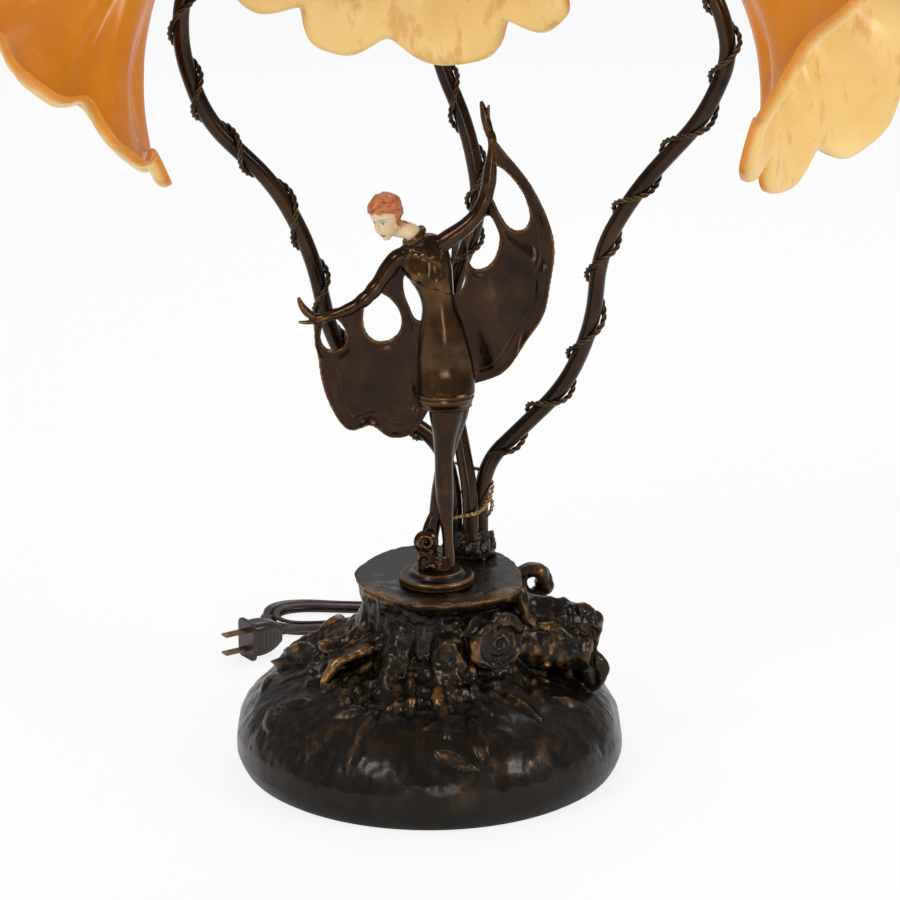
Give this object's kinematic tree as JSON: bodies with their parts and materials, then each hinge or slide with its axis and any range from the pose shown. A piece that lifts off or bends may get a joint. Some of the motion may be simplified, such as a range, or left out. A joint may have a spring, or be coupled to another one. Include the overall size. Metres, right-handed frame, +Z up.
{
  "type": "figural table lamp",
  "caption": "Table lamp: a caped dancer on a cast tree stump, bent vine-wound arms behind, ruffled amber glass lily shades, and a cord with plug.",
  "frame": {"origin": "centre of the round base on the table", "axes": "+Z up, -Y towards the front that the dancer faces, +X to the viewer's right"},
  "size_m": [0.6486, 0.4828, 0.6693],
  "materials": {
    "bronze": "dark brown patina, worn golden on the high spots",
    "figure_bronze": "smooth brown patina with a golden sheen",
    "arm_bronze": "brown patinated tube",
    "vine_bronze": "dark twisted vine with gold highlights",
    "resin": "painted ivory-coloured resin",
    "amber_glass": "frosted amber art glass",
    "bulb_glass": "frosted white",
    "socket_brass": "antique brass",
    "bulb_metal": "plain",
    "insulator": "dark phenolic",
    "steel": "zinc plated",
    "cover_steel": "black",
    "felt": "felt",
    "rubber": "moulded",
    "cord": "brown vinyl lamp cord",
    "plug_plastic": "brown moulded",
    "blade_brass": "tarnished"
  },
  "bodies": {
    "lamp": {"arm_tube_centre": "arm_bronze", "arm_tube_left": "arm_bronze", "arm_tube_right": "arm_bronze", "base_casting": "bronze", "base_cover_plate": "cover_steel", "base_felt": "felt", "bulb_cap_centre": "bulb_metal", "bulb_cap_left": "bulb_metal", "bulb_cap_right": "bulb_metal", "bulb_glass_centre": "bulb_glass", "bulb_glass_left": "bulb_glass", "bulb_glass_right": "bulb_glass", "cape_left": "figure_bronze", "cape_right": "figure_bronze", "clump_screws": "steel", "cord_bushing": "rubber", "cord_hank": "cord", "cord_lead": "cord", "cord_tail": "cord", "cord_tie": "cord", "cover_screws": "steel", "dancer_arm_left": "figure_bronze", "dancer_arm_right": "figure_bronze", "dancer_body": "figure_bronze", "dancer_head": "resin", "dancer_legs": "figure_bronze", "figure_bolt": "steel", "figure_pedestal": "bronze", "figure_washer": "steel", "head_pin": "steel", "lamp_wires": "cord", "plug_blades": "blade_brass", "plug_body": "plug_plastic", "shade_centre": "amber_glass", "shade_holder_centre": "socket_brass", "shade_holder_left": "socket_brass", "shade_holder_right": "socket_brass", "shade_left": "amber_glass", "shade_right": "amber_glass", "shade_screws": "socket_brass", "socket_cap_centre": "socket_brass", "socket_cap_left": "socket_brass", "socket_cap_right": "socket_brass", "socket_core_centre": "insulator", "socket_core_left": "insulator", "socket_core_right": "insulator", "socket_shell_centre": "socket_brass", "socket_shell_left": "socket_brass", "socket_shell_right": "socket_brass", "stem_clump": "bronze", "terminal_block": "insulator", "vine_centre": "vine_bronze", "vine_left": "vine_bronze", "vine_right": "vine_bronze"},
    "key_left": {"socket_key_left": "socket_brass"},
    "key_centre": {"socket_key_centre": "socket_brass"},
    "key_right": {"socket_key_right": "socket_brass"}
  },
  "joints": [
    {"name": "key_turn_left", "type": "hinge", "parent": "lamp", "child": "key_left", "pos_m": [-0.14149, -0.02771, 0.56972], "axis": [0.3749, -0.9271, 0], "continuous": true},
    {"name": "key_turn_centre", "type": "hinge", "parent": "lamp", "child": "key_centre", "pos_m": [-0.00185, 0.01615, 0.63148], "axis": [-0.9902, 0.1395, 0], "continuous": true},
    {"name": "key_turn_right", "type": "hinge", "parent": "lamp", "child": "key_right", "pos_m": [0.15612, -0.04584, 0.56583], "axis": [-0.6153, -0.7883, 0], "continuous": true}
  ]
}
